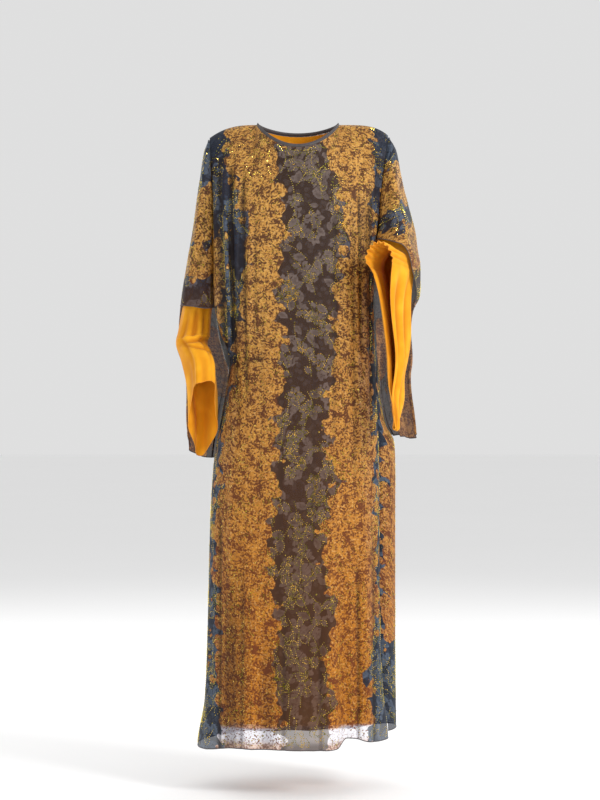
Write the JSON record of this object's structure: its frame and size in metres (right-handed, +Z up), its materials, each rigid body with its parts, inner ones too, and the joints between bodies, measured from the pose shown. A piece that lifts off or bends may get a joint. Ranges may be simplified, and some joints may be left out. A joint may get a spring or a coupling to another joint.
{
  "type": "abaya",
  "caption": "Long loose butterfly abaya of sheer printed cloth with stones, over a plain orange lining with its own wide sleeves, hollow, shaped as worn.",
  "frame": {"origin": "midway between the two neck points of the shoulder seam, where the wearer's shoulders hold the garment up", "axes": "+Z up along the garment's length, the front faces -Y, the wearer's right side is at -X"},
  "size_m": [0.5602, 0.3388, 1.4307],
  "materials": {
    "shell": "sheer print",
    "binding": "matte",
    "lining": "matte chiffon"
  },
  "bodies": {
    "root": {"front": "shell", "back": "shell", "sleeve_front_right": "shell", "sleeve_front_left": "shell", "sleeve_back_right": "shell", "sleeve_back_left": "shell", "neck_binding": "binding", "lining_front": "lining", "lining_back": "lining", "lining_sleeve_right": "lining", "lining_sleeve_left": "lining"}
  },
  "joints": []
}
